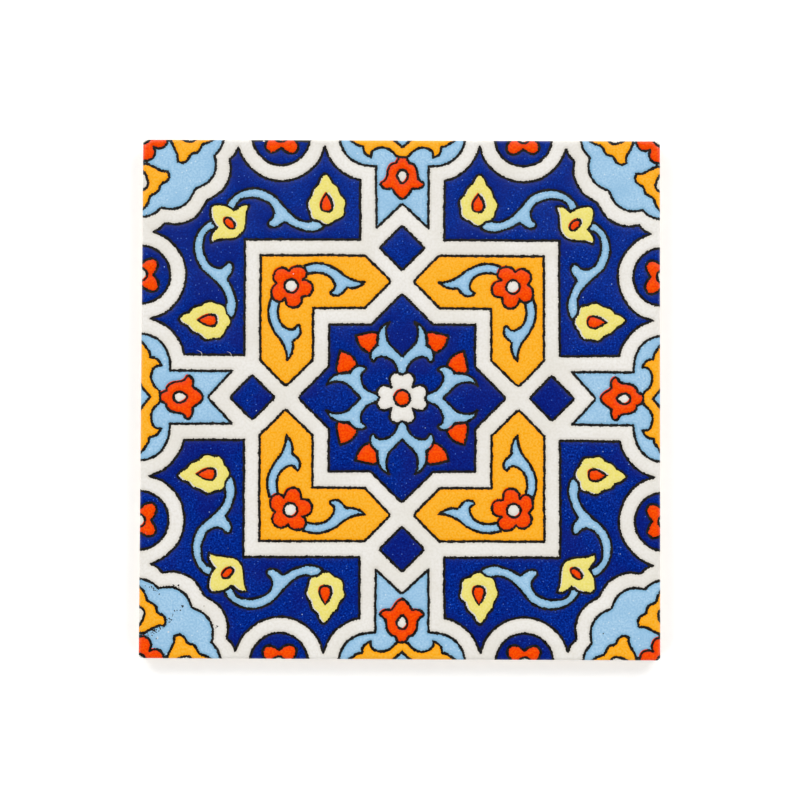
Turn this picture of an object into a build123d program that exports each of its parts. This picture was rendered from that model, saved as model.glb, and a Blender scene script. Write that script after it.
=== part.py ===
"""A square glazed wall tile, lying on its back with the decorated face up.

One pressed and fired body: rounded glaze arris on the face, four straight edges for
the joints, a chamfered back edge and a waffle of shallow keying pockets in the back.
The drawn lines of the star pattern are narrow sunken grooves that part the glaze
fields. White bands of one width run between the fields, so each larger field is what
is left outside the bands of its neighbours.

Frame: millimetres, origin at the centre of the back, +Z out of the decorated face,
+X to the right and +Y to the top of the design.
"""

import os

from build123d import *

# Body
tile_side = 200.0
tile_thickness = 8.0
corner_radius = 1.4
face_arris_radius = 1.2
back_chamfer = 1.0

# Keying pockets in the back: an even count, so that two ribs cross at the centre
pocket_count = 10
pocket_side = 15.0
pocket_depth = 0.8
pocket_draft = 35.0
rib_width = 4.0

# Drawn lines of the face
line_width = 1.0
line_depth = 0.2

# Star pattern, to the middles of the drawn lines
band_width = 6.2
star_side = 56.6
diamond_side = 12.2
diamond_centre = 57.9
cell_reach = 54.95

# Fields that the joint cuts: the pattern runs on over the grout to the next tile
joint_width = 1.0
cartouche_width = 20.3
cartouche_lobe_radius = 10.2
cartouche_lobe_centre = 14.0
disc_radius = 10.7
disc_centre = 47.0
corner_lobe_radius = 8.8
corner_lobe_centre = 78.5
corner_petal_radius = 10.6
corner_petal_near = 83.3
corner_petal_far = 90.5

pocket_pitch = pocket_side + rib_width
pattern_side = tile_side + joint_width
joint_middle = pattern_side / 2
cartouche_length = 2 * (joint_middle - diamond_centre)
corner_square_side = 2 * (joint_middle - corner_petal_near)
inner_square_side = 2 * (cell_reach + band_width)

# Centre star: two equal squares, one turned by an eighth
with BuildSketch() as star:
    Rectangle(star_side, star_side)
    Rectangle(star_side, star_side, rotation=45)

with BuildSketch() as diamonds:
    with PolarLocations(diamond_centre, 4):
        Rectangle(diamond_side, diamond_side, rotation=45)

# Star and diamonds with the white band around them
with BuildSketch() as inner_bands:
    offset(star.sketch, amount=band_width, kind=Kind.INTERSECTION, mode=Mode.ADD)
    offset(diamonds.sketch, amount=band_width, kind=Kind.INTERSECTION, mode=Mode.ADD)

# Four angled cells around the star
with BuildSketch() as cells:
    Rectangle(2 * cell_reach, 2 * cell_reach)
    add(inner_bands.sketch, mode=Mode.SUBTRACT)

# One cartouche in the middle of each edge, with a round lobe on both sides
with BuildSketch() as cartouches:
    with PolarLocations(joint_middle, 4):
        Rectangle(cartouche_length, cartouche_width)
        with Locations((0, cartouche_lobe_centre), (0, -cartouche_lobe_centre)):
            Circle(cartouche_lobe_radius)
    add(inner_bands.sketch, mode=Mode.SUBTRACT)

# Two round fields on each edge
with BuildSketch() as discs:
    with PolarLocations(joint_middle, 4):
        with Locations((0, disc_centre), (0, -disc_centre)):
            Circle(disc_radius)

# One cartouche in each corner: two lobes on the edges and two petals towards the centre
with BuildSketch() as corner_cartouches:
    with PolarLocations(0, 4):
        with Locations((joint_middle, joint_middle)):
            Rectangle(corner_square_side, corner_square_side)
        with Locations((corner_lobe_centre, joint_middle), (joint_middle, corner_lobe_centre)):
            Circle(corner_lobe_radius)
        with Locations((corner_petal_near, corner_petal_far), (corner_petal_far, corner_petal_near)):
            Circle(corner_petal_radius)

with BuildSketch() as edge_fields:
    add(cartouches.sketch)
    add(discs.sketch)
    add(corner_cartouches.sketch)

# Four large corner fields, scalloped by the bands around the edge fields
with BuildSketch() as corner_fields:
    Rectangle(pattern_side, pattern_side)
    Rectangle(inner_square_side, inner_square_side, mode=Mode.SUBTRACT)
    add(inner_bands.sketch, mode=Mode.SUBTRACT)
    offset(edge_fields.sketch, amount=band_width, kind=Kind.INTERSECTION, mode=Mode.SUBTRACT)

# The drawn lines run along both sides of every field's outline
with BuildSketch() as straight_fields:
    add(star.sketch)
    add(diamonds.sketch)
    add(cells.sketch)

with BuildSketch() as scalloped_fields:
    add(edge_fields.sketch)
    add(corner_fields.sketch)

with BuildSketch(Plane.XY.offset(tile_thickness)) as drawn_lines:
    offset(straight_fields.sketch, amount=line_width / 2, kind=Kind.INTERSECTION, mode=Mode.ADD)
    offset(scalloped_fields.sketch, amount=line_width / 2, mode=Mode.ADD)
    offset(straight_fields.sketch, amount=-line_width / 2, kind=Kind.INTERSECTION, mode=Mode.SUBTRACT)
    offset(scalloped_fields.sketch, amount=-line_width / 2, mode=Mode.SUBTRACT)

# One keying pocket, widest where it opens at the back
with BuildPart() as keying_pocket:
    with BuildSketch():
        Rectangle(pocket_side, pocket_side)
    extrude(amount=pocket_depth, taper=pocket_draft)

with BuildPart() as tile:
    with BuildSketch():
        RectangleRounded(tile_side, tile_side, corner_radius)
    extrude(amount=tile_thickness)

    face_edges = tile.faces().sort_by(Axis.Z)[-1].edges()
    fillet(face_edges, radius=face_arris_radius)
    back_edges = tile.faces().sort_by(Axis.Z)[0].edges()
    chamfer(back_edges, length=back_chamfer)

    extrude(drawn_lines.sketch, amount=-line_depth, mode=Mode.SUBTRACT)

    with GridLocations(pocket_pitch, pocket_pitch, pocket_count, pocket_count):
        add(keying_pocket.part, mode=Mode.SUBTRACT)

tile.part.label = "tile"

os.makedirs("parts", exist_ok=True)
export_step(tile.part, "parts/tile.step")
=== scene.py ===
"""Looks of a square haft rang wall tile, lying on its back with the painted face up.

Black lines part the glaze fields. Everything about the drawing is in millimetres about the
centre of the design; the finished pieces are in metres, in the frame of the CAD part.
"""

import math

import bpy
import numpy as np
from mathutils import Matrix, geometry, kdtree


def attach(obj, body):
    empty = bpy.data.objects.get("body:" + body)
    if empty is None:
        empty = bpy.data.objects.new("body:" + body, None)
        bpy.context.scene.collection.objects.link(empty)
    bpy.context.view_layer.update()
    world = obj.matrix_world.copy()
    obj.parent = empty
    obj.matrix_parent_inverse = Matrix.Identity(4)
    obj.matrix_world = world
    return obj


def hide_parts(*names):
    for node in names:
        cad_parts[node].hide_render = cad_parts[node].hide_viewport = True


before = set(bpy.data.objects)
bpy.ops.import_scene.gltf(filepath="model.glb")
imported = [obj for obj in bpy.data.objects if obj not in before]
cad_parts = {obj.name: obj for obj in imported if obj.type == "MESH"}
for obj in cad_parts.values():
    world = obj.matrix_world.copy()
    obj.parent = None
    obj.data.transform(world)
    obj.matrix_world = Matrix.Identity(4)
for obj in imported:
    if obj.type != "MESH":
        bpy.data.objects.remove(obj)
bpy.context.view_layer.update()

MM = 0.001

# The fired body
HALF_SIDE = 100.0
TOP = 8.0
CORNER_RADIUS = 1.4
ARRIS_RADIUS = 1.2
BACK_CHAMFER = 1.0
GLAZE_LINE = 5.0
GLAZE_LIP = 0.12
POCKET_COUNT = 10
POCKET_PITCH = 19.0
POCKET_SIDE = 15.0
POCKET_FLOOR_SIDE = 13.88
POCKET_DEPTH = 0.8

# The painted face: black lines sunk between the glazes
LINE_HALF_WIDTH = 0.52
LINE_DEPTH = 0.2
SHOULDER = 1.1

# How finely curves and outlines are drawn, how far past the edge a line is followed,
# and the insets of the outlines that carry the rounded edge of the face
STEP = 0.45
OUTLINE_STEP = 1.5
PAST_EDGE = 0.8
ARRIS_INSETS = (0.0, 0.12, 0.35, 0.7, ARRIS_RADIUS)

# How the printed drawing sits on the tile: off centre, narrow, leaning and slightly fanned
DESIGN_SHIFT = (0.68, 0.27)
DESIGN_STRETCH = (0.9945, 1.0006)
DESIGN_LEAN = -0.003
DESIGN_FAN = (-2.2e-5, -2.6e-5)

# How far the colours printed last slipped against the black lines, how far the red
# was printed past its outline, and what is left of a line's half where they cover it
YELLOW_SLIP = (0.95, 0.45)
RED_SLIP = (-0.3, 0.32)
RED_SPREAD = 0.16
COVERED_SHARE = 0.55

# The drawing, as stops that a smooth line runs through, sharp at those marked C: whole
# outlines, or the half of one up to the axis or the diagonal that mirrors it

C = "corner"

STAR_EIGHTH = [(0, 39.75), (0.8, 39.42, C), (12.0, 28.27, C)]
STAR_NOTCH = [(28.25, 28.25, C)]
L_CELL = [
    (34.5, 34.5, C), (14.45, 34.6, C), (5.1, 44.25, C), (4.8, 45.0), (5.15, 45.75, C), (14.45, 54.95, C),
    (54.95, 54.95, C),
]
DIAMOND = [
    (0, 66.2), (0.8, 65.85, C), (7.7, 58.95, C), (8.35, 58.0), (7.85, 57.1, C), (0.8, 50.05, C), (0, 49.6),
]
CORNER_FIELD = [
    (61.05, 61.05, C), (16.3, 61.08, C), (16.45, 84.15, C), (20.1, 85.25), (25.15, 88.7), (28.05, 92.3),
    (30.25, 97.3, C),
    (31.8, 92.7), (34.85, 88.75), (39.9, 85.35), (47.05, 83.75), (54.1, 85.3), (60.25, 90.05),
    (62.45, 93.3), (63.9, 96.6, C),
    (65.1, 94.1), (67.05, 92.2, C), (67.1, 91.3, C), (66.7, 88), (67.55, 83.9), (69.9, 79.9),
    (72.4, 77.95), (74.7, 76.5, C),
    (75.85, 75.85),
]
EDGE_DISC = [
    (36.1, 102, C), (36.1, 99.8, C), (36.8, 97), (38.8, 93.7), (42, 91.15), (47, 89.9), (52, 91.05),
    (55.8, 94.2), (57.6, 97.2), (58.2, 99.8, C),
    (58.2, 102, C),
]
BOW_TIE = [
    (47.15, 96.5, C), (45.2, 95.05), (43.0, 94.4), (40.85, 95.55), (40.55, 97.4), (41.2, 99.0),
    (42.2, 100.3), (43.4, 102, C),
    (51.45, 102, C), (52.15, 100.3), (53.1, 98.6), (53.35, 96.5), (51.4, 94.7), (49.1, 95.25),
]
EDGE_CARTOUCHE = [
    (0, 74.8), (0.7, 74.5, C), (10.1, 65.8, C), (10.2, 89.6, C), (15.05, 90.15), (18.1, 91.2),
    (20.2, 92.5), (22.3, 94.75), (23.85, 98.0), (24.2, 100),
    (24.2, 102, C), (0, 102),
]
CORNER_CARTOUCHE = [
    (102, 102, C), (69.6, 102, C), (69.7, 99.5), (70.85, 96.3), (73.1, 93.5, C), (72.65, 90.6),
    (72.8, 87.9), (73.6, 85.75),
    (75.15, 83.6), (76.85, 82.2), (79.25, 81.05), (80.4, 80.4),
]
FLOWER = [
    (0, 8.95, C), (0.85, 9.35), (2.3, 9.8), (4.05, 8.95), (4.9, 7.3), (4.75, 6.2), (4.5, 5.2),
    (4.1, 4.1, C),
]
LEAF = [
    (0, 16.1), (0.95, 16.9), (2.4, 18.4), (3.9, 19.85), (5.0, 21.15), (5.7, 22.65), (6.05, 25), (5.95, 27),
    (4.85, 29.25, C),
    (7, 28.1), (8.1, 27), (9.1, 25), (9.6, 23), (9.65, 21.4), (9.4, 20.35, C),
    (11.15, 19.05), (12.05, 17.5), (12.25, 16), (11.9, 14.6), (11.1, 13.9), (10.35, 14.4), (9.7, 15.35),
    (8, 15.9), (6, 15.5),
    (4, 14.35), (2.8, 13), (2.1, 11.4), (1.55, 9.85, C), (0, 8.95),
]
STAR_BUD = [
    (9.5, 24.75), (10.6, 25.4), (14, 25.0), (18.1, 23.95, C), (16.65, 20.2), (14.5, 18.1), (12.5, 17.2, C),
    (11.75, 18.3), (9.5, 21.0, C),
]
L_FLOWER = [
    (48.95, 48.95), (46.7, 50.0), (45.1, 49.65), (43.95, 48.85, C), (43.05, 49.85), (41.85, 50.55),
    (40.5, 50.75), (38.8, 50.5), (37.45, 49.4), (36.95, 47.75),
    (37.4, 46.4), (38.45, 45.55, C), (36.8, 45.2), (35.2, 44.0), (34.7, 42.1), (35.2, 40.2), (36.6, 39.15),
    (38.1, 39.0), (38.85, 38.85, C),
]
TENDRIL = [
    (14.35, 44.6, C), (16.05, 44.7), (18.05, 45.15), (20.1, 45.9), (22.1, 47.0), (25, 49.25), (28, 50.8),
    (30, 51.5), (32, 51.85), (34, 51.85), (35.95, 51.55), (38.2, 50.9, C),
    (37.8, 50.0), (36.65, 47.8, C),
    (34.5, 48.2), (32.5, 48.25), (30.05, 47.75), (28.2, 46.65), (26.8, 45.0), (26.15, 43.2), (26.4, 41.8),
    (27.85, 40.5), (27.5, 39.8), (26.15, 39.35),
    (24.6, 39.45), (23.2, 40.4), (22.2, 41.6), (21.3, 42.45, C), (19.5, 42.3), (17.5, 42.7), (15.85, 43.4),
]
VINE = [
    (34.9, 68.5, C), (37, 68.05), (40.05, 68.85), (42.1, 70.15), (44.05, 71.95), (46.15, 74.15),
    (48.15, 76.55), (50.1, 78.4), (52.15, 79.55), (54.05, 80.3), (57, 80.8), (60, 80.6),
    (62, 80.0), (64.2, 78.95), (66.3, 77.2), (67.5, 75.85), (68.4, 74.15, C),
    (66.15, 72.7), (65.0, 73.0, C), (63.95, 75.3), (62.05, 76.65), (59.95, 77.05), (57.95, 77.15),
    (56.05, 76.9), (54.15, 76.2), (52.25, 75.3), (51.0, 74.05), (50.25, 72.75), (49.9, 71.0),
    (50.5, 69.3), (52.05, 67.6), (51.8, 66.2), (50, 65.6), (47.75, 66.25), (46.6, 67.2), (45.55, 67.7),
    (44.4, 67.1), (42.2, 65.85), (40.1, 65.1), (38.1, 64.45), (36, 64.05), (33.9, 64.3),
    (31.75, 64.95), (30.45, 66.05), (31.2, 67.1), (32.5, 68.15),
]
YELLOW_BUD = [
    (29.2, 66.5), (31.2, 67.15), (32.3, 68.15, C), (33.7, 68.3), (35.2, 69.05), (35.9, 70.5),
    (36.1, 71.8, C), (36.95, 73.9), (37.0, 75.3), (36.2, 76.95), (35.5, 78.0, C),
    (35.1, 79.6), (34.6, 80.9), (33.7, 81.8), (32.75, 82.55, C), (32.35, 84.05), (31.7, 85.25),
    (30.1, 86.55), (28.5, 85.5), (27.65, 84.1), (27.15, 83.05, C), (26.1, 82.25),
    (25.05, 81.25), (24.5, 79.8), (24.0, 78.5, C), (22.9, 77.55), (22.05, 76.1), (22.1, 74.6),
    (22.6, 73.1, C), (22.5, 71.6), (22.9, 70.15), (24.2, 69.05), (25.95, 68.4, C), (27.25, 67.3),
]
DROP = [
    (29.55, 79.2, C), (30.9, 77.2), (31.6, 75.5), (31.8, 74.1), (31.2, 72.5), (29.5, 72.0), (27.8, 72.4),
    (27.2, 74.1), (27.5, 75.8), (28.3, 77.4),
]
YELLOW_FLOWER = [
    (62.65, 62.65), (61.55, 64.4), (61.05, 66.5), (60.85, 69), (60.6, 71.45), (59.65, 74.15, C),
    (61.5, 74.5), (63.2, 73.8), (65.5, 72.0, C), (66.8, 73.1), (68.95, 74.1),
    (71, 74.45), (72.8, 74.5), (73.9, 73.9),
]
EDGE_FLOWER = [
    (0, 76.9), (1.35, 77.5), (2.65, 78.95), (3.45, 80.3), (4.15, 81.0, C), (6, 80.9), (7.3, 81.35),
    (8.2, 82.35), (8.2, 83.2), (6.95, 84.05), (6.25, 85.0), (5.9, 86.5),
    (5.7, 88.2), (4.9, 89.9), (3.95, 90.7), (2.6, 91.1, C), (2.05, 92.2), (1.35, 93.25), (0, 93.35),
]
EDGE_EYE = [(0, 88.35), (1.3, 87.8), (2.05, 86.3), (1.7, 84.9), (1.0, 83.8), (0, 83.1)]
SCROLL = [
    (0, 93.35), (1.75, 93.45), (2.7, 94.15), (3.7, 95.25), (4.85, 96.1), (6.4, 96.75), (7.95, 96.95),
    (9.6, 96.65), (10.9, 96.05), (11.9, 95.0), (12.15, 93.1, C),
    (13.4, 93.7), (14.65, 94.75), (15.2, 96.15), (15.35, 97.4, C), (17.1, 97.75), (18.8, 98.85),
    (20.2, 99.85), (22.1, 101.85, C), (5.75, 101.85, C), (3.45, 100.15), (1.85, 98.75),
    (0, 97.2, C),
]
PALMETTE = [
    (71.5, 102, C), (73.5, 99.8), (75.1, 98.8), (77.7, 97.8), (78.35, 96.85), (78.85, 95.8), (79.9, 94.6),
    (81.55, 94.2), (82.45, 93.5), (83.25, 92.0), (84.25, 91.1), (85.4, 90.75),
    (87.25, 91.3, C), (87.4, 93.6), (88.3, 95.5), (89.5, 97.8), (90.0, 99.0), (90.2, 102, C),
]
PALMETTE_EYE = [
    (80.0, 102, C), (80.3, 100.4), (81.2, 99.3), (82.2, 98.85), (84.0, 99.1), (85.6, 99.7), (87.0, 100.6),
    (88.0, 102, C),
]
CORNER_FLOWER = [
    (102, 102, C), (91.25, 102, C), (91.45, 99.0), (92.1, 97.4), (93.1, 96.6), (94.4, 96.2), (95.65, 96.3),
    (96.7, 96.7, C),
]
WEB = [(89.95, 98.9, C), (90.7, 99.3), (91.45, 98.9, C)]


# Curves of the drawing

def runs_between_corners(stops, closed):
    """The stops cut into runs from corner to corner, as lists of points."""
    points = [np.array(stop[:2], float) for stop in stops]
    corners = [i for i, stop in enumerate(stops) if len(stop) > 2]
    if not closed:
        cuts = [0] + [i for i in corners if 0 < i < len(points) - 1] + [len(points) - 1]
        return [points[a:b + 1] for a, b in zip(cuts, cuts[1:])]
    if not corners:
        return [points + points[:1]]
    around = points[corners[0]:] + points[:corners[0] + 1]
    cuts = [i - corners[0] for i in corners] + [len(points)]
    return [around[a:b + 1] for a, b in zip(cuts, cuts[1:])]


def smooth_run(run, ring):
    """Points along a centripetal spline through the points of one run, its last point left out."""
    before, after = (run[-2], run[1]) if ring else (2 * run[0] - run[1], 2 * run[-1] - run[-2])
    knots = [before] + list(run) + [after]
    out = []
    for a, b, c, d in zip(knots, knots[1:], knots[2:], knots[3:]):
        t1 = max(np.linalg.norm(b - a), 1e-6) ** 0.5
        t2 = t1 + max(np.linalg.norm(c - b), 1e-6) ** 0.5
        t3 = t2 + max(np.linalg.norm(d - c), 1e-6) ** 0.5
        count = max(1, math.ceil(np.linalg.norm(c - b) / STEP))
        t = (t1 + (t2 - t1) * np.arange(count) / count)[:, None]
        a1 = (t1 - t) / t1 * a + t / t1 * b
        a2 = (t2 - t) / (t2 - t1) * b + (t - t1) / (t2 - t1) * c
        a3 = (t3 - t) / (t3 - t2) * c + (t - t2) / (t3 - t2) * d
        b1 = (t2 - t) / t2 * a1 + t / t2 * a2
        b2 = (t3 - t) / (t3 - t1) * a2 + (t - t1) / (t3 - t1) * a3
        out.append((t2 - t) / (t2 - t1) * b1 + (t - t1) / (t2 - t1) * b2)
    return np.vstack(out)


def curve(stops, closed=True):
    """Points along the smooth line through the stops, sharp at those marked C."""
    runs = runs_between_corners(stops, closed)
    ring = closed and len(runs) == 1 and len(stops[0]) == 2
    line = np.vstack([smooth_run(run, ring) for run in runs])
    return line if closed else np.vstack([line, runs[-1][-1:]])


def across_axis(half):
    """A loop from its right half, which starts and ends on the vertical axis."""
    return half + [(-s[0], *s[1:]) for s in reversed(half) if s[0] != 0]


def across_diagonal(half):
    """A loop from its upper half, which starts and ends on the diagonal."""
    return half + [(s[1], s[0], *s[2:]) for s in reversed(half) if s[0] != s[1]]


def ring(x, y, long_radius, short_radius=None, turn=0.0):
    """The stops of a circle or an ellipse."""
    short_radius = short_radius or long_radius
    angles = np.arange(14) * 2 * math.pi / 14
    u, v = long_radius * np.cos(angles), short_radius * np.sin(angles)
    c, s = math.cos(math.radians(turn)), math.sin(math.radians(turn))
    return [(x + a * c - b * s, y + a * s + b * c) for a, b in zip(u, v)]


def star_stops():
    quarter = STAR_EIGHTH + STAR_NOTCH + [(y, x, *rest) for x, y, *rest in reversed(STAR_EIGHTH)]
    right = quarter + [(x, -y, *rest) for x, y, *rest in reversed(quarter[:-1])]
    return right + [(-x, y, *rest) for x, y, *rest in reversed(right[1:-1])]


def turned(line, quarters):
    c, s = ((1, 0), (0, 1), (-1, 0), (0, -1))[quarters]
    return line @ np.array([[c, s], [-s, c]])


def mirrored(line):
    return line[::-1] * (-1, 1)


def swapped(line):
    return line[::-1, ::-1]


def flower_loop():
    eighth = curve(FLOWER, closed=False)
    quarter = np.vstack([eighth, swapped(eighth)[1:-1]])
    return np.vstack([turned(quarter, k) for k in (0, 3, 2, 1)])


def fourfold(glaze, stops):
    line = curve(stops)
    return [(glaze, turned(line, k)) for k in range(4)]


def eightfold(glaze, stops):
    line = curve(stops)
    return [(glaze, turned(side, k)) for side in (line, mirrored(line)) for k in range(4)]


def painted_loops():
    """Every outlined field as (glaze, loop), those on top last."""
    loops = [("cobalt", curve(star_stops()))]
    loops += fourfold("amber", across_diagonal(L_CELL))
    loops += fourfold("cobalt", across_axis(DIAMOND))
    loops += fourfold("cobalt", across_diagonal(CORNER_FIELD))
    loops += eightfold("cobalt", EDGE_DISC)
    loops += fourfold("sky", across_axis(EDGE_CARTOUCHE))
    loops += fourfold("sky", across_diagonal(CORNER_CARTOUCHE))
    loops += fourfold("sky", across_axis(LEAF))
    loops += eightfold("red", STAR_BUD)
    loops += [("white", flower_loop()), ("red", curve(ring(0, 0, 3.05)))]
    loops += eightfold("sky", TENDRIL)
    loops += fourfold("red", across_diagonal(L_FLOWER))
    loops += fourfold("white", ring(43.05, 43.05, 2.6))
    loops += eightfold("sky", VINE)
    loops += eightfold("yellow", YELLOW_BUD)
    loops += eightfold("red", DROP)
    loops += fourfold("yellow", across_diagonal(YELLOW_FLOWER))
    loops += fourfold("red", ring(67.15, 67.2, 2.65, 1.6, 45))
    loops += eightfold("red", BOW_TIE)
    loops += eightfold("white", ring(47.25, 101.4, 2.45))
    loops += fourfold("red", across_axis(EDGE_FLOWER))
    loops += fourfold("white", across_axis(EDGE_EYE))
    loops += fourfold("amber", across_axis(SCROLL))
    loops += eightfold("amber", PALMETTE)
    loops += eightfold("white", PALMETTE_EYE)
    loops += fourfold("red", across_diagonal(CORNER_FLOWER))
    loops += fourfold("white", ring(101, 101, 2.95))
    return loops


def open_lines():
    line = curve(WEB, closed=False)
    return [turned(side, k) for side in (line, mirrored(line)) for k in range(4)]


# Small flaws of the firing as black specks, and painted glints as white specks, as (glaze, x, y, radius) in
# the drawing

SPECKS_AND_GLINTS = [
    ("outline", -89.05, -84.9, 0.25), ("outline", -89.4, -85.9, 0.22), ("outline", -92.6, -88.5, 0.24),
    ("outline", -94.2, -89.8, 0.26), ("outline", -93.3, -89.4, 0.2), ("outline", -95.5, -89.2, 0.22),
    ("outline", -95.8, -91.1, 0.24), ("outline", -94.2, -92.3, 0.22),
    # Painted highlights: the white specks on this line and the next stand for glints of light on the glaze
    ("white", -89.6, -89.7, 0.28), ("white", -93.7, -92.0, 0.26),
    ("white", -53.9, 99.2, 0.35), ("white", -42.1, 47.7, 0.2),
    ("outline", -84.1, -79.9, 0.42), ("outline", 77.5, -89.9, 0.24), ("outline", -65.3, -67.2, 0.2),
]

# Sprays of fine black specks, as (x, y, length, angle, count)
SPRAYS = [
    (-95.6, -89.6, 8.0, 30, 26), (-95.7, -73.1, 5.6, -28, 11), (-89.8, -84.7, 5.0, 32, 9),
    (-85.6, -81.2, 3.4, 32, 4), (-87.0, -71.5, 4.6, -35, 6), (-71.0, -87.6, 2.6, 40, 4),
]

# Painted highlights: thin white glints in the cobalt, from one end through the bow to the other
GLINT_STREAKS = [
    [(-79.2, 18.0), (-77.6, 17.2), (-77.3, 14.9)],
    [(-67.9, 17.6), (-66.3, 16.8), (-66.0, 14.5)],
]
GLINT_STREAK_WIDTH = 0.16


def speck(x, y, radius):
    """A small blot, a little longer than wide."""
    return curve(ring(x, y, radius * 1.2, radius * 0.85, 40 * x))


def sprayed(x, y, length, angle, count):
    """The specks of one spray, thicker in its middle."""
    chance = np.random.default_rng(int(-10 * x - y))
    along = chance.normal(0, length / 4, count)
    across = chance.normal(0, 0.55, count)
    cos, sin = math.cos(math.radians(angle)), math.sin(math.radians(angle))
    radii = chance.uniform(0.15, 0.3, count)
    return [speck(x + a * cos - b * sin, y + a * sin + b * cos, r) for a, b, r in zip(along, across, radii)]


def glint_streak(stops):
    """A thin curved streak, pointed at both ends: a painted glint."""
    middle = curve([stops[0] + (C,), stops[1], stops[2] + (C,)], closed=False)
    steps = np.gradient(middle, axis=0)
    normals = np.column_stack([-steps[:, 1], steps[:, 0]]) / np.linalg.norm(steps, axis=1)[:, None]
    swell = np.sin(np.linspace(0.15, math.pi - 0.15, len(middle)))[:, None] * GLINT_STREAK_WIDTH / 2
    return np.vstack([middle + normals * swell, (middle - normals * swell)[::-1]])


def flaws_and_glints():
    """The black specks, the painted glints and the black strips where the lines ran together at the top
    edge.
    """
    loops = [
        ("outline", curve([(-58.6, 98.9, C), (-52.6, 99.1, C), (-52.6, 102, C), (-58.6, 102, C)])),
        ("outline", curve([(-42.0, 99.2, C), (-36.6, 98.7, C), (-36.6, 102, C), (-42.0, 102, C)])),
    ]
    loops += [("white", glint_streak(stops)) for stops in GLINT_STREAKS]
    loops += [("outline", loop) for spray in SPRAYS for loop in sprayed(*spray)]
    return loops + [(glaze, speck(x, y, radius)) for glaze, x, y, radius in SPECKS_AND_GLINTS]


# The hand's and the kiln's small irregularities

def waver(points, size, seed):
    """A smooth wandering value, mostly between -1 and 1, with waves about size mm long."""
    total = np.zeros(len(points))
    for k in range(6):
        angle = 2.4 * k + seed
        wave = size * (0.7 + 0.14 * k)
        along = points[:, 0] * math.cos(angle) + points[:, 1] * math.sin(angle)
        total += np.sin(along * 2 * math.pi / wave + 1.7 * seed + 2.3 * k * k)
    return total / 3


def drawn_by_hand(points):
    """The points as they lie on the tile: the drawing's place on it and a slight waver."""
    long_wave = np.column_stack([waver(points, 17.0, 1.0), waver(points, 17.0, 5.0)]) * 0.08
    short_wave = np.column_stack([waver(points, 2.1, 2.0), waver(points, 2.1, 7.0)]) * 0.035
    lean = np.column_stack([DESIGN_LEAN * points[:, 1], np.zeros(len(points))])
    fan = points * (points @ np.array(DESIGN_FAN))[:, None]
    return points * DESIGN_STRETCH + lean + fan + DESIGN_SHIFT + long_wave + short_wave


def line_half_width(points):
    """Half the line's ragged width, for points on its nominal edge."""
    return LINE_HALF_WIDTH + 0.08 * waver(points, 3.1, 3.0) + 0.17 * waver(points, 0.8, 4.0)


# Plane geometry

def inset_of(points):
    """How far each point lies inside the tile's outline, in millimetres."""
    beyond = np.abs(points) - (HALF_SIDE - CORNER_RADIUS)
    outside = np.linalg.norm(np.maximum(beyond, 0), axis=1)
    return CORNER_RADIUS - outside - np.minimum(beyond.max(axis=1), 0)


def outline_loop(inset, spacing):
    """The tile's outline, drawn in by an inset, counter-clockwise."""
    radius = max(CORNER_RADIUS - inset, 0.05)
    reach = HALF_SIDE - inset - radius
    straight = np.linspace(-reach, reach, max(2, round(2 * reach / spacing)))
    side = np.column_stack([np.full(len(straight), HALF_SIDE - inset), straight])
    bend = np.radians(np.arange(15, 90, 15))
    corner = np.column_stack([reach + radius * np.cos(bend), reach + radius * np.sin(bend)])
    quarter = np.vstack([side, corner])
    return np.vstack([turned(quarter, k) for k in range(4)])


def inside(points, loop):
    """Which points lie inside a loop."""
    hit = np.zeros(len(points), bool)
    near = np.flatnonzero(np.all((points >= loop.min(axis=0)) & (points <= loop.max(axis=0)), axis=1))
    x, y = points[near, 0][:, None], points[near, 1][:, None]
    ax, ay = loop[:, 0], loop[:, 1]
    bx, by = np.roll(ax, -1), np.roll(ay, -1)
    rise = np.where(by == ay, 1e-9, by - ay)
    crossed = ((ay > y) != (by > y)) & (x < ax + (y - ay) / rise * (bx - ax))
    hit[near] = crossed.sum(axis=1) % 2 == 1
    return hit


def beside(line, closed, gap):
    """The lines at a gap to both sides of a line, each as points with its chain of edges."""
    steps = np.roll(line, -1, axis=0) - line
    if not closed:
        steps[-1] = steps[-2]
    normals = np.column_stack([-steps[:, 1], steps[:, 0]]) / np.linalg.norm(steps, axis=1)[:, None]
    found = []
    for side in (1, -1):
        out = []
        for i, here in enumerate(line):
            n0 = normals[i - 1] if closed or i else normals[0]
            n1 = normals[i]
            bend = math.atan2(n0[0] * n1[1] - n0[1] * n1[0], n0 @ n1)
            if abs(bend) < 0.45:
                middle = n0 + n1
                out.append(here + side * gap * middle / (middle @ n0))
            elif bend * side > 0:
                out += [here + side * gap * n0, here + side * gap * n1]
            else:
                count = max(2, math.ceil(abs(bend) / 0.45))
                start = math.atan2(n0[1], n0[0])
                for k in range(count + 1):
                    angle = start + bend * k / count
                    out.append(here + side * gap * np.array([math.cos(angle), math.sin(angle)]))
        found.append(np.array(out))
    if not closed:
        first, last = line[0], line[-1]
        caps = []
        for end, normal, way in ((last, normals[-1], -1), (first, normals[0], 1)):
            start = math.atan2(normal[1], normal[0])
            turns = start + way * np.linspace(0, math.pi, 7)[1:-1]
            caps.append(end + gap * np.column_stack([np.cos(turns), np.sin(turns)]))
        around = np.vstack([found[0], caps[0], found[1][::-1], caps[1][::-1]])
        return [around]
    return found


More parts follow.
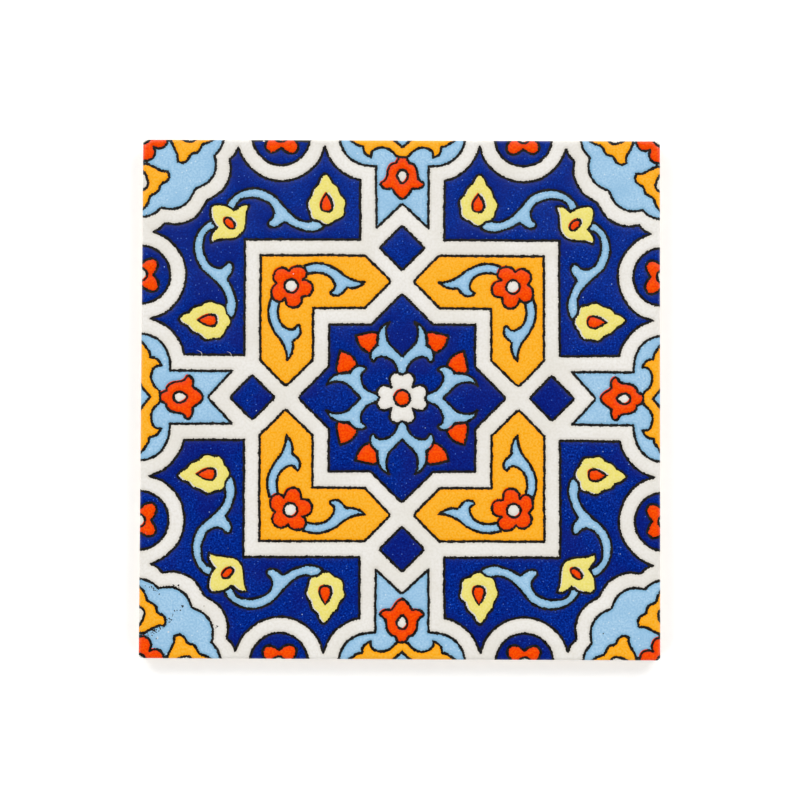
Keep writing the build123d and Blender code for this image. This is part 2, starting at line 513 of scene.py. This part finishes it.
class Lines:
    """The black lines' centres, for finding how far a point is from the nearest one."""

    def __init__(self, lines, spacing=0.12):
        samples = []
        for line, closed in lines:
            ends = np.roll(line, -1, axis=0) if closed else line[1:]
            starts = line if closed else line[:-1]
            for a, b in zip(starts, ends):
                count = max(1, math.ceil(np.linalg.norm(b - a) / spacing))
                samples.append(a + (b - a) * (np.arange(count) / count)[:, None])
        samples = np.vstack(samples)
        self.tree = kdtree.KDTree(len(samples))
        for i, (x, y) in enumerate(samples):
            self.tree.insert((x, y, 0), i)
        self.tree.balance()

    def distance(self, points):
        return np.array([self.tree.find((x, y, 0))[2] for x, y in points])

    def nearest(self, points):
        """The nearest place on a line's centre for each point, and how far it is."""
        found = [self.tree.find((x, y, 0)) for x, y in points]
        places = np.array([place[:2] for place, _, _ in found])
        return places, np.array([distance for _, _, distance in found])


def paint_at(points, loops):
    """The glaze drawn at each point, "ground" where there is only the white ground."""
    names = np.full(len(points), "ground", dtype="<U8")
    for glaze, loop in loops:
        names[inside(points, loop)] = glaze
    return names


class Print:
    """The drawing as it was printed: black lines, and a yellow and a red that slipped."""

    def __init__(self, loops, webs):
        self.loops = loops
        self.strokes = [(loop, True) for _, loop in loops] + [(line, False) for line in webs]
        self.lines = Lines(self.strokes)
        self.red_edges = [
            loop for i, (glaze, loop) in enumerate(loops) if glaze == "red" or self.is_hole_in_red(i)
        ]
        self.red_lines = Lines([(loop, True) for loop in self.red_edges])

    def is_hole_in_red(self, i):
        glaze, loop = self.loops[i]
        return glaze == "white" and paint_at(loop[:1], self.loops[:i])[0] == "red"

    def has_yellow(self, points):
        return paint_at(points - YELLOW_SLIP, self.loops) == "yellow"

    def has_red(self, points):
        back = points - RED_SLIP
        red = paint_at(back, self.loops) == "red"
        bare = np.flatnonzero(~red)
        red[bare] = self.red_lines.distance(back[bare]) < RED_SPREAD
        return red

    def edge_of_line(self, points, centres, far):
        """The points moved to the ragged edge of their line, and how far inside it they were."""
        outward = (points - centres) / np.maximum(far, 0.01)[:, None]
        nominal = centres + outward * LINE_HALF_WIDTH
        opposite = centres - outward * LINE_HALF_WIDTH
        drawn = paint_at(nominal, self.loops)
        covered = (drawn != "red") & self.has_red(nominal) | (drawn == "yellow") & self.has_yellow(opposite)
        half_width = line_half_width(nominal) * np.where(covered, COVERED_SHARE, 1.0)
        return centres + outward * half_width[:, None], half_width - far

    def seen_at(self, points):
        """What shows at each point: a glaze or the black outline."""
        names = paint_at(points, self.loops)
        names[names == "ground"] = "white"
        near = np.flatnonzero(self.lines.distance(points) < 2 * math.hypot(*YELLOW_SLIP))
        own, place = names[near], points[near]
        own[(own == "yellow") & ~self.has_yellow(place)] = "white"
        red = self.has_red(place)
        own[red] = np.where(own[red] == "cobalt", "outline", "red")
        own[self.edge_of_line(place, *self.lines.nearest(place))[1] > 0] = "outline"
        names[near] = own
        return names


def smooth_step(x):
    x = np.clip(x, 0, 1)
    return x * x * (3 - 2 * x)


# The face as one triangulated sheet

class Sheet:
    """Points and edges gathered for one triangulation."""

    def __init__(self):
        self.points = []
        self.edges = []
        self.count = 0

    def add_points(self, points):
        self.points.append(points)
        self.count += len(points)

    def add_loop(self, loop):
        numbers = self.count + np.arange(len(loop))
        self.edges.extend(zip(numbers, np.roll(numbers, -1)))
        self.add_points(loop)

    def add_chain(self, chain, keep):
        """The kept points of a chain and the edges between neighbours, where either one is kept."""
        kept = keep | np.roll(keep, -1)
        used = kept | np.roll(kept, 1)
        number = self.count + np.cumsum(used) - 1
        following = np.roll(number, -1)
        self.edges.extend((number[i], following[i]) for i in np.flatnonzero(kept))
        self.add_points(chain[used])

    def triangulated(self):
        outline = [tuple(p) for p in np.vstack(self.points)]
        found = geometry.delaunay_2d_cdt(outline, self.edges, [], 0, 1e-4, False)
        return np.array([tuple(v) for v in found[0]]), np.array([tuple(f) for f in found[2]])


def add_line_edges(sheet, drawing):
    """Both ragged edges of every black line, where no other line covers them."""
    chains, centres, far = [], [], []
    for line, closed in drawing.strokes:
        own = Lines([(line, closed)])
        for chain in beside(line, closed, LINE_HALF_WIDTH):
            nearest, distance = own.nearest(chain)
            chains.append(chain)
            centres.append(nearest)
            far.append(distance)
    points = np.vstack(chains)
    edges = drawing.edge_of_line(points, np.vstack(centres), np.concatenate(far))[0]
    clear = (drawing.lines.distance(points) > LINE_HALF_WIDTH - 0.03) & (inset_of(points) > -PAST_EDGE)
    ends = np.cumsum([len(chain) for chain in chains])[:-1]
    for edge, keep in zip(np.split(edges, ends), np.split(clear, ends)):
        sheet.add_chain(edge, keep)


def add_slipped_edges(sheet, drawing):
    """The edges of the slipped colours that show beside the black lines."""
    chains = [loop + YELLOW_SLIP for glaze, loop in drawing.loops if glaze in ("yellow", "red")]
    for loop in drawing.red_edges:
        chains += [side + RED_SLIP for side in beside(loop, True, RED_SPREAD)]
    covered_to = LINE_HALF_WIDTH * COVERED_SHARE - 0.1
    for chain in chains:
        shows = (drawing.lines.distance(chain) > covered_to) & (inset_of(chain) > -PAST_EDGE)
        sheet.add_chain(chain, shows)


def add_shoulders(sheet, loops, lines):
    """Points where the glaze swells from the lines to its full height."""
    for gap in (LINE_HALF_WIDTH + SHOULDER * 0.35, LINE_HALF_WIDTH + SHOULDER):
        for _, loop in loops:
            for chain in beside(loop, True, gap):
                sheet.add_points(chain[(lines.distance(chain) > gap - 0.05) & (inset_of(chain) > 0.3)])


def add_open_fields(sheet, lines):
    """A loose grid of points away from the lines."""
    across = np.arange(-97.5, 98, 3.0)
    grid = np.stack(np.meshgrid(across, across), axis=-1).reshape(-1, 2)
    grid = grid + np.column_stack([waver(grid, 5.0, 8.0), waver(grid, 5.0, 9.0)]) * 0.6
    sheet.add_points(grid[lines.distance(grid) > LINE_HALF_WIDTH + SHOULDER + 0.9])


def face_sheet():
    """The face: flat points, triangles, each triangle's glaze, each point's distance from the lines."""
    loops = [(glaze, drawn_by_hand(loop)) for glaze, loop in painted_loops()]
    drawing = Print(loops, [drawn_by_hand(line) for line in open_lines()])
    marks = [(name, drawn_by_hand(loop)) for name, loop in flaws_and_glints()]

    sheet = Sheet()
    add_line_edges(sheet, drawing)
    add_slipped_edges(sheet, drawing)
    add_shoulders(sheet, loops, drawing.lines)
    add_open_fields(sheet, drawing.lines)
    for _, loop in marks:
        sheet.add_loop(loop)
    for inset in ARRIS_INSETS:
        sheet.add_loop(outline_loop(inset, OUTLINE_STEP))
    flat, triangles = sheet.triangulated()

    centres = flat[triangles].mean(axis=1)
    within = inside(centres, outline_loop(0.0, OUTLINE_STEP))
    triangles, centres = triangles[within], centres[within]
    names = drawing.seen_at(centres)
    for name, loop in marks:
        names[inside(centres, loop)] = name
    return flat, triangles, names, drawing.lines.distance(flat)


def face_height(flat, far):
    """Each point's height: the lines lie a little lower than the glazes."""
    sunk = LINE_DEPTH * (1 - smooth_step((far - LINE_HALF_WIDTH + 0.1) / SHOULDER))
    inset = np.clip(inset_of(flat), 0, None)
    past_flat = np.maximum(ARRIS_RADIUS - inset, 0)
    round_off = ARRIS_RADIUS - np.sqrt(np.maximum(ARRIS_RADIUS ** 2 - past_flat ** 2, 0))
    return TOP - round_off - sunk * smooth_step(inset / ARRIS_RADIUS)


# Pieces

def add_piece(name, vertices, faces, material, rim=None, flat_map=False, smooth=True):
    """One mesh object on the body, its vertices given in millimetres."""
    mesh = bpy.data.meshes.new(name)
    places = [tuple(v * MM) for v in np.asarray(vertices, float)]
    mesh.from_pydata(places, [], [tuple(int(i) for i in face) for face in faces])
    mesh.validate()
    mesh.polygons.foreach_set("use_smooth", [smooth] * len(mesh.polygons))
    if rim is not None:
        attribute = mesh.attributes.new("rim", "FLOAT", "POINT")
        attribute.data.foreach_set("value", np.asarray(rim, np.float32))
    if flat_map:
        layer = mesh.uv_layers.new(name="OFBake")
        corners = np.zeros(len(mesh.loops), np.int32)
        mesh.loops.foreach_get("vertex_index", corners)
        plan = np.asarray(vertices, float)[corners, :2] / (2 * HALF_SIDE) + 0.5
        layer.data.foreach_set("uv", plan.astype(np.float32).ravel())
    mesh.materials.append(material)
    mesh.update()
    piece = bpy.data.objects.new(name, mesh)
    bpy.context.scene.collection.objects.link(piece)
    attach(piece, "root")
    return piece


def add_face_pieces(flat, triangles, names, far, materials):
    """One piece for each glaze and one for the black lines."""
    heights = face_height(flat, far)
    vertices = np.column_stack([flat, heights])
    # rim carries the painted shade of the glazes beside the sunken lines
    rim = 1 - smooth_step((far - LINE_HALF_WIDTH) / SHOULDER)
    for glaze, (piece_name, slot) in FACE_PIECES.items():
        own = triangles[names == glaze]
        used, renumbered = np.unique(own, return_inverse=True)
        faces = renumbered.reshape(-1, 3)
        add_piece(piece_name, vertices[used], faces, materials[glaze], rim[used], flat_map=True)


FACE_PIECES = {
    "white": ("glaze_white", "white_glaze"),
    "cobalt": ("glaze_cobalt", "cobalt_glaze"),
    "sky": ("glaze_sky", "sky_glaze"),
    "amber": ("glaze_amber", "amber_glaze"),
    "yellow": ("glaze_yellow", "yellow_glaze"),
    "red": ("glaze_red", "red_glaze"),
    "outline": ("outline_black", "outline"),
}


def border_of(flat, triangles):
    """The numbers of the sheet's outermost vertices, counter-clockwise."""
    sides = np.sort(np.vstack([triangles[:, [0, 1]], triangles[:, [1, 2]], triangles[:, [2, 0]]]), axis=1)
    pairs, count = np.unique(sides, axis=0, return_counts=True)
    rim = np.unique(pairs[count == 1])
    return rim[np.argsort(np.arctan2(flat[rim, 1], flat[rim, 0]))]


def drawn_in(loop, inset):
    """An outline loop moved inwards by an inset."""
    core = np.clip(loop, -(HALF_SIDE - CORNER_RADIUS), HALF_SIDE - CORNER_RADIUS)
    outward = loop - core
    length = np.linalg.norm(outward, axis=1)[:, None]
    return loop - outward / np.maximum(length, 1e-9) * inset


def wall_rings(rim, heights, glaze_line):
    """Rings down the glazed upper part of the edge, and down the bare lower part to the back."""
    glazed = [
        np.column_stack([rim, heights]),
        np.column_stack([rim, (heights + glaze_line) / 2]),
        np.column_stack([rim, glaze_line + 0.15]),
        np.column_stack([drawn_in(rim, GLAZE_LIP * 0.4), glaze_line + 0.03]),
        np.column_stack([drawn_in(rim, GLAZE_LIP), glaze_line]),
    ]
    bare_top = BACK_CHAMFER - GLAZE_LIP
    bare = [
        glazed[-1],
        np.column_stack([drawn_in(rim, GLAZE_LIP), (glaze_line + bare_top) / 2]),
        np.column_stack([drawn_in(rim, GLAZE_LIP), np.full(len(rim), bare_top)]),
        np.column_stack([drawn_in(rim, BACK_CHAMFER), np.zeros(len(rim))]),
    ]
    return glazed, bare


def skin(rings):
    """Quads between rings of the same length, facing outwards."""
    count = len(rings[0])
    around = np.arange(count)
    following = (around + 1) % count
    faces = []
    for k in range(len(rings) - 1):
        upper, lower = k * count, (k + 1) * count
        quads = np.column_stack([upper + around, lower + around, lower + following, upper + following])
        faces.extend(quads.tolist())
    return faces


def back_sheet(border):
    """The back with its keying pockets, as vertices and triangles that face down."""
    points, edges = [border], [(i, (i + 1) % len(border)) for i in range(len(border))]
    depth = [np.zeros(len(border))]
    total = len(border)
    offset = (POCKET_COUNT - 1) / 2 * POCKET_PITCH
    for column in range(POCKET_COUNT):
        for row in range(POCKET_COUNT):
            middle = np.array([column * POCKET_PITCH - offset, row * POCKET_PITCH - offset])
            for side, level in ((POCKET_SIDE, 0.0), (POCKET_FLOOR_SIDE, POCKET_DEPTH)):
                square = middle + np.array([(-1, -1), (1, -1), (1, 1), (-1, 1)]) * side / 2
                points.append(square)
                depth.append(np.full(4, level))
                edges.extend((total + i, total + (i + 1) % 4) for i in range(4))
                total += 4
    found = geometry.delaunay_2d_cdt([tuple(p) for p in np.vstack(points)], edges, [], 1, 1e-5, True)
    origin = [source[0] for source in found[3]]
    flat = np.array([tuple(v) for v in found[0]])
    height = np.concatenate(depth)[origin]
    return np.column_stack([flat, height]), [tuple(reversed(f)) for f in found[2]]


def add_edges_and_back(flat, triangles, far, materials):
    """The glazed edge and the bare body, from the rim of the face to the back."""
    numbers = border_of(flat, triangles)
    rim = flat[numbers]
    heights = face_height(flat, far)[numbers]
    glaze_line = GLAZE_LINE + 0.35 * waver(rim, 9.0, 4.0) + 0.15 * waver(rim, 2.6, 6.0)
    glazed, bare = wall_rings(rim, heights, glaze_line)
    add_piece("glaze_edge", np.vstack(glazed), skin(glazed), materials["white"])
    back, back_faces = back_sheet(drawn_in(rim, BACK_CHAMFER))
    shell = np.vstack(bare)
    faces = skin(bare) + [tuple(len(shell) + i for i in face) for face in back_faces]
    vertices = np.vstack([shell, back])
    return add_piece("tile_body", vertices, faces, materials["biscuit"], smooth=False)


# Materials

def linear(red, green, blue):
    """An 8-bit screen colour as the linear values that a shader takes."""
    def one(value):
        value /= 255
        return value / 12.92 if value <= 0.04045 else ((value + 0.055) / 1.055) ** 2.4
    return (one(red), one(green), one(blue), 1.0)


class Nodes:
    """A small helper for laying out a material's nodes."""

    def __init__(self, name):
        self.material = bpy.data.materials.new(name)
        self.material.use_nodes = True
        self.tree = self.material.node_tree
        self.shader = self.tree.nodes["Principled BSDF"]
        self.place = self.add("ShaderNodeTexCoord").outputs["Object"]

    def add(self, kind, **settings):
        node = self.tree.nodes.new(kind)
        for key, value in settings.items():
            setattr(node, key, value)
        return node

    def plug(self, value, socket):
        if isinstance(value, bpy.types.NodeSocket):
            self.tree.links.new(value, socket)
        else:
            socket.default_value = value

    def noise(self, size_mm, detail=2.0, roughness=0.5, offset=0.0):
        """Noise with features about size_mm across."""
        place = self.place
        if offset:
            shifted = self.add("ShaderNodeVectorMath", operation="ADD")
            self.plug(place, shifted.inputs[0])
            shifted.inputs[1].default_value = (offset, offset * 0.7, 0.0)
            place = shifted.outputs[0]
        node = self.add("ShaderNodeTexNoise")
        self.plug(place, node.inputs["Vector"])
        node.inputs["Scale"].default_value = 1 / (size_mm * MM * 2)
        node.inputs["Detail"].default_value = detail
        node.inputs["Roughness"].default_value = roughness
        return node.outputs["Fac"]

    def spread(self, value, low, high, start=0.0, end=1.0):
        """value from low..high stretched to start..end, and held there."""
        node = self.add("ShaderNodeMapRange", interpolation_type="SMOOTHSTEP")
        sockets = ("Value", "From Min", "From Max", "To Min", "To Max")
        for socket, number in zip(sockets, (value, low, high, start, end)):
            self.plug(number, node.inputs[socket])
        return node.outputs["Result"]

    def times(self, a, b):
        node = self.add("ShaderNodeMath", operation="MULTIPLY")
        self.plug(a, node.inputs[0])
        self.plug(b, node.inputs[1])
        return node.outputs[0]

    def mix(self, factor, a, b):
        node = self.add("ShaderNodeMix", data_type="RGBA")
        self.plug(factor, node.inputs[0])
        self.plug(a, node.inputs[6])
        self.plug(b, node.inputs[7])
        return node.outputs[2]

    def along(self, axis):
        """The place along one axis, in metres from the tile's centre."""
        split = self.add("ShaderNodeSeparateXYZ")
        self.plug(self.place, split.inputs[0])
        return split.outputs[axis]

    def mottled(self, a, b):
        """The fine mottling of a coloured glaze, between two colours."""
        return self.mix(self.spread(self.noise(0.4, detail=2.0), 0.34, 0.66), a, b)

    def rim(self):
        """1 along the black lines, 0 away from them: the mask of the glazes' painted shade beside the
        sunken lines.
        """
        return self.add("ShaderNodeAttribute", attribute_name="rim").outputs["Fac"]

    def dots(self, pitch_mm, radius, share, offset=0.0):
        """Scattered round dots: 1 in a dot, 0 elsewhere. share is the part of the cells that have one."""
        place = self.place
        if offset:
            shifted = self.add("ShaderNodeVectorMath", operation="ADD")
            self.plug(place, shifted.inputs[0])
            shifted.inputs[1].default_value = (offset, -offset, 0.0)
            place = shifted.outputs[0]
        cells = self.add("ShaderNodeTexVoronoi")
        self.plug(place, cells.inputs["Vector"])
        cells.inputs["Scale"].default_value = 1 / (pitch_mm * MM)
        dot = self.spread(cells.outputs["Distance"], radius, radius * 0.45)
        pick = self.add("ShaderNodeSeparateColor")
        self.plug(cells.outputs["Color"], pick.inputs[0])
        chosen = self.spread(pick.outputs[0], share, share * 0.9)
        return self.times(dot, chosen)

    def bump(self, height, distance_mm, strength=1.0):
        node = self.add("ShaderNodeBump")
        self.plug(height, node.inputs["Height"])
        node.inputs["Distance"].default_value = distance_mm * MM
        node.inputs["Strength"].default_value = strength
        self.plug(node.outputs["Normal"], self.shader.inputs["Normal"])

    def finish(self, colour, roughness):
        self.plug(colour, self.shader.inputs["Base Color"])
        self.plug(roughness, self.shader.inputs["Roughness"])
        return self.material


def glossy_surface(nodes):
    """The slight orange peel that every glaze has."""
    nodes.bump(nodes.noise(2.2, detail=1.5), 0.02, 0.5)


def white_glaze():
    nodes = Nodes("white_glaze")
    patches = nodes.spread(nodes.noise(9.0, detail=3.0), 0.35, 0.7)
    clouds = nodes.mix(patches, linear(244, 241, 236), linear(236, 232, 224))
    grain = nodes.spread(nodes.noise(0.5, detail=2.0), 0.35, 0.7)
    mottled = nodes.mix(nodes.times(grain, 0.4), clouds, linear(224, 219, 207))
    # Painted shade: the white turns darker and warmer beside the sunken black lines
    shaded_by_lines = nodes.mix(nodes.times(nodes.rim(), 0.6), mottled, linear(210, 204, 192))
    colour = nodes.mix(nodes.dots(5.0, 0.06, 0.12), shaded_by_lines, linear(150, 140, 120))
    glossy_surface(nodes)
    return nodes.finish(colour, nodes.spread(nodes.noise(6.0), 0.3, 0.7, 0.12, 0.2))


def cobalt_glaze():
    nodes = Nodes("cobalt_glaze")
    grain = nodes.noise(0.36, detail=2.0, roughness=0.6)
    dark = nodes.mix(nodes.spread(grain, 0.3, 0.5), linear(0, 12, 90), linear(0, 38, 134))
    speckled = nodes.mix(nodes.spread(grain, 0.51, 0.72), dark, linear(16, 70, 190))
    patches = nodes.spread(nodes.noise(9.0, detail=3.0), 0.44, 0.62)
    violet = nodes.mix(nodes.times(patches, 0.55), speckled, linear(14, 20, 112))
    # Painted light: the cobalt turns lighter towards the tile's top edge, as if more light fell there
    painted_top_light = nodes.spread(nodes.along("Y"), -0.02, 0.1)
    clouds = nodes.mix(nodes.times(painted_top_light, 0.25), violet, linear(26, 58, 146))
    # Painted shade: the cobalt turns darker beside the sunken black lines
    shaded_by_lines = nodes.mix(nodes.times(nodes.rim(), 0.35), clouds, linear(0, 22, 92))
    pale = nodes.mix(nodes.times(nodes.dots(1.7, 0.17, 0.55), 0.75), shaded_by_lines, linear(78, 122, 218))
    bright_dots = nodes.dots(3.6, 0.08, 0.4, offset=0.013)
    colour = nodes.mix(nodes.times(bright_dots, 0.85), pale, linear(158, 190, 240))
    glossy_surface(nodes)
    return nodes.finish(colour, nodes.spread(nodes.noise(5.0), 0.3, 0.7, 0.14, 0.24))


def sky_glaze():
    nodes = Nodes("sky_glaze")
    mottled = nodes.mottled(linear(152, 195, 228), linear(175, 212, 238))
    patches = nodes.spread(nodes.noise(6.0), 0.4, 0.7)
    clouds = nodes.mix(nodes.times(patches, 0.5), mottled, linear(144, 190, 224))
    # Painted shade: the sky blue turns deeper beside the sunken black lines
    shaded_by_lines = nodes.mix(nodes.times(nodes.rim(), 0.85), clouds, linear(126, 176, 208))
    colour = nodes.mix(nodes.times(nodes.dots(1.9, 0.2, 0.5), 0.75), shaded_by_lines, linear(214, 232, 244))
    glossy_surface(nodes)
    return nodes.finish(colour, nodes.spread(nodes.noise(6.0), 0.3, 0.7, 0.12, 0.2))


def amber_glaze():
    nodes = Nodes("amber_glaze")
    mottled = nodes.mottled(linear(254, 171, 18), linear(255, 187, 62))
    # Painted shade: the amber turns deeper beside the sunken black lines
    shaded_by_lines = nodes.mix(nodes.times(nodes.rim(), 0.9), mottled, linear(252, 161, 2))
    colour = nodes.mix(nodes.times(nodes.dots(2.6, 0.1, 0.3), 0.6), shaded_by_lines, linear(255, 206, 120))
    glossy_surface(nodes)
    return nodes.finish(colour, nodes.spread(nodes.noise(6.0), 0.3, 0.7, 0.12, 0.2))


def yellow_glaze():
    nodes = Nodes("yellow_glaze")
    mottled = nodes.mottled(linear(239, 225, 110), linear(245, 232, 144))
    # Painted shade: the yellow turns darker beside the sunken black lines
    colour = nodes.mix(nodes.times(nodes.rim(), 0.7), mottled, linear(234, 220, 108))
    glossy_surface(nodes)
    return nodes.finish(colour, nodes.spread(nodes.noise(6.0), 0.3, 0.7, 0.12, 0.2))


def red_glaze():
    nodes = Nodes("red_glaze")
    mottled = nodes.mottled(linear(246, 61, 0), linear(255, 90, 4))
    # Painted shade: the red turns darker beside the sunken black lines
    colour = nodes.mix(nodes.times(nodes.rim(), 0.6), mottled, linear(228, 58, 0))
    glossy_surface(nodes)
    return nodes.finish(colour, nodes.spread(nodes.noise(5.0), 0.3, 0.7, 0.14, 0.24))


def outline_paint():
    nodes = Nodes("outline_paint")
    worn = nodes.spread(nodes.noise(0.7, detail=3.0), 0.4, 0.75)
    colour = nodes.mix(worn, linear(6, 5, 3), linear(30, 24, 16))
    nodes.bump(nodes.noise(0.5, detail=2.0), 0.02, 0.4)
    return nodes.finish(colour, nodes.spread(nodes.noise(1.0), 0.3, 0.7, 0.3, 0.45))


def biscuit():
    nodes = Nodes("biscuit")
    patches = nodes.spread(nodes.noise(14.0, detail=4.0), 0.35, 0.7)
    clay = nodes.mix(patches, linear(222, 198, 168), linear(206, 180, 150))
    grain = nodes.spread(nodes.noise(0.5, detail=4.0), 0.45, 0.75)
    grainy = nodes.mix(nodes.times(grain, 0.5), clay, linear(232, 212, 186))
    colour = nodes.mix(nodes.dots(3.0, 0.09, 0.3), grainy, linear(150, 116, 88))
    nodes.bump(nodes.noise(0.35, detail=4.0, roughness=0.7), 0.05, 0.8)
    return nodes.finish(colour, nodes.spread(nodes.noise(2.0), 0.3, 0.7, 0.8, 0.95))


def all_materials():
    return {
        "white": white_glaze(),
        "cobalt": cobalt_glaze(),
        "sky": sky_glaze(),
        "amber": amber_glaze(),
        "yellow": yellow_glaze(),
        "red": red_glaze(),
        "outline": outline_paint(),
        "biscuit": biscuit(),
    }


# Floor, light and camera

def add_floor():
    """A pale floor that the camera sees as white, with the tile's soft shadow on it."""
    reach = 6.0
    mesh = bpy.data.meshes.new("floor")
    corners = [(-reach, -reach, 0), (reach, -reach, 0), (reach, reach, 0), (-reach, reach, 0)]
    mesh.from_pydata(corners, [], [(0, 1, 2, 3)])
    nodes = Nodes("floor")
    fine = nodes.spread(nodes.noise(1.5, detail=3.0), 0.3, 0.7)
    colour = nodes.mix(fine, linear(240, 240, 239), linear(244, 244, 243))
    material = nodes.finish(colour, 0.9)
    nodes.shader.inputs["Specular IOR Level"].default_value = 0.1
    path = nodes.add("ShaderNodeLightPath")
    seen = nodes.add("ShaderNodeMath", operation="MAXIMUM")
    nodes.plug(path.outputs["Is Camera Ray"], seen.inputs[0])
    nodes.plug(path.outputs["Is Glossy Ray"], seen.inputs[1])
    seen_too = nodes.add("ShaderNodeMath", operation="MAXIMUM")
    nodes.plug(seen.outputs[0], seen_too.inputs[0])
    nodes.plug(path.outputs["Is Transmission Ray"], seen_too.inputs[1])
    nodes.shader.inputs["Emission Color"].default_value = (1, 1, 1, 1)
    away = nodes.add("ShaderNodeVectorMath", operation="LENGTH")
    nodes.plug(nodes.place, away.inputs[0])
    glow = nodes.spread(away.outputs["Value"], 0.4, 3.0, 0.3, 0.95)
    nodes.plug(nodes.times(seen_too.outputs[0], glow), nodes.shader.inputs["Emission Strength"])
    mesh.materials.append(material)
    floor = bpy.data.objects.new("floor", mesh)
    bpy.context.scene.collection.objects.link(floor)


def add_world():
    """A studio whose walls are pale and whose ceiling is dim, so that the gloss stays deep from above."""
    world = bpy.data.worlds.new("studio")
    world.use_nodes = True
    tree = world.node_tree
    background = tree.nodes["Background"]
    place = tree.nodes.new("ShaderNodeTexCoord")
    split = tree.nodes.new("ShaderNodeSeparateXYZ")
    tree.links.new(place.outputs["Generated"], split.inputs[0])
    lean = tree.nodes.new("ShaderNodeMath")
    lean.operation = "MULTIPLY_ADD"
    tree.links.new(split.outputs[1], lean.inputs[0])
    lean.inputs[1].default_value = -0.4
    tree.links.new(split.outputs[2], lean.inputs[2])
    height = tree.nodes.new("ShaderNodeMapRange")
    height.interpolation_type = "SMOOTHSTEP"
    tree.links.new(lean.outputs[0], height.inputs["Value"])
    for socket, number in (("From Min", 0.4), ("From Max", 1.0), ("To Min", 0.9), ("To Max", 0.02)):
        height.inputs[socket].default_value = number
    tree.links.new(height.outputs["Result"], background.inputs["Strength"])
    background.inputs["Color"].default_value = (1.0, 1.0, 1.0, 1.0)
    bpy.context.scene.world = world


def add_lamp(name, place, size, power):
    """A soft square lamp that looks at the tile's centre."""
    light = bpy.data.lights.new(name, "AREA")
    light.size = size
    light.energy = power
    lamp = bpy.data.objects.new(name, light)
    bpy.context.scene.collection.objects.link(lamp)
    lamp.location = place
    away = -np.array(place)
    pitch = math.atan2(math.hypot(away[0], away[1]), -away[2])
    lamp.rotation_euler = (pitch, 0, math.atan2(away[1], away[0]) - math.pi / 2)


def add_lamps():
    for name, place, power in (
        ("lamp_back_left", (-0.95, 1.05, 1.1), 8.8),
        ("lamp_back_right", (0.95, 1.05, 1.1), 8.8),
        ("lamp_front_left", (-1.05, -0.95, 1.0), 6.8),
        ("lamp_front_right", (1.05, -0.95, 1.0), 6.8),
    ):
        add_lamp(name, place, 0.7, power)


def add_camera():
    """A long lens almost straight above the tile."""
    data = bpy.data.cameras.new("camera")
    data.sensor_width = 36.0
    data.lens = 90.0
    data.clip_start = 0.01
    data.clip_end = 100.0
    camera = bpy.data.objects.new("camera", data)
    bpy.context.scene.collection.objects.link(camera)
    camera.location = (3.71 * MM, -28.69 * MM, 776.65 * MM)
    camera.rotation_euler = (math.radians(2.099), math.radians(0.278), math.radians(0.233))
    bpy.context.scene.camera = camera


def main():
    bpy.context.scene.view_settings.view_transform = "Standard"
    add_camera()
    add_world()
    add_lamps()
    add_floor()
    materials = all_materials()
    flat, triangles, names, far = face_sheet()
    add_face_pieces(flat, triangles, names, far, materials)
    body = add_edges_and_back(flat, triangles, far, materials)
    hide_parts("tile")


main()
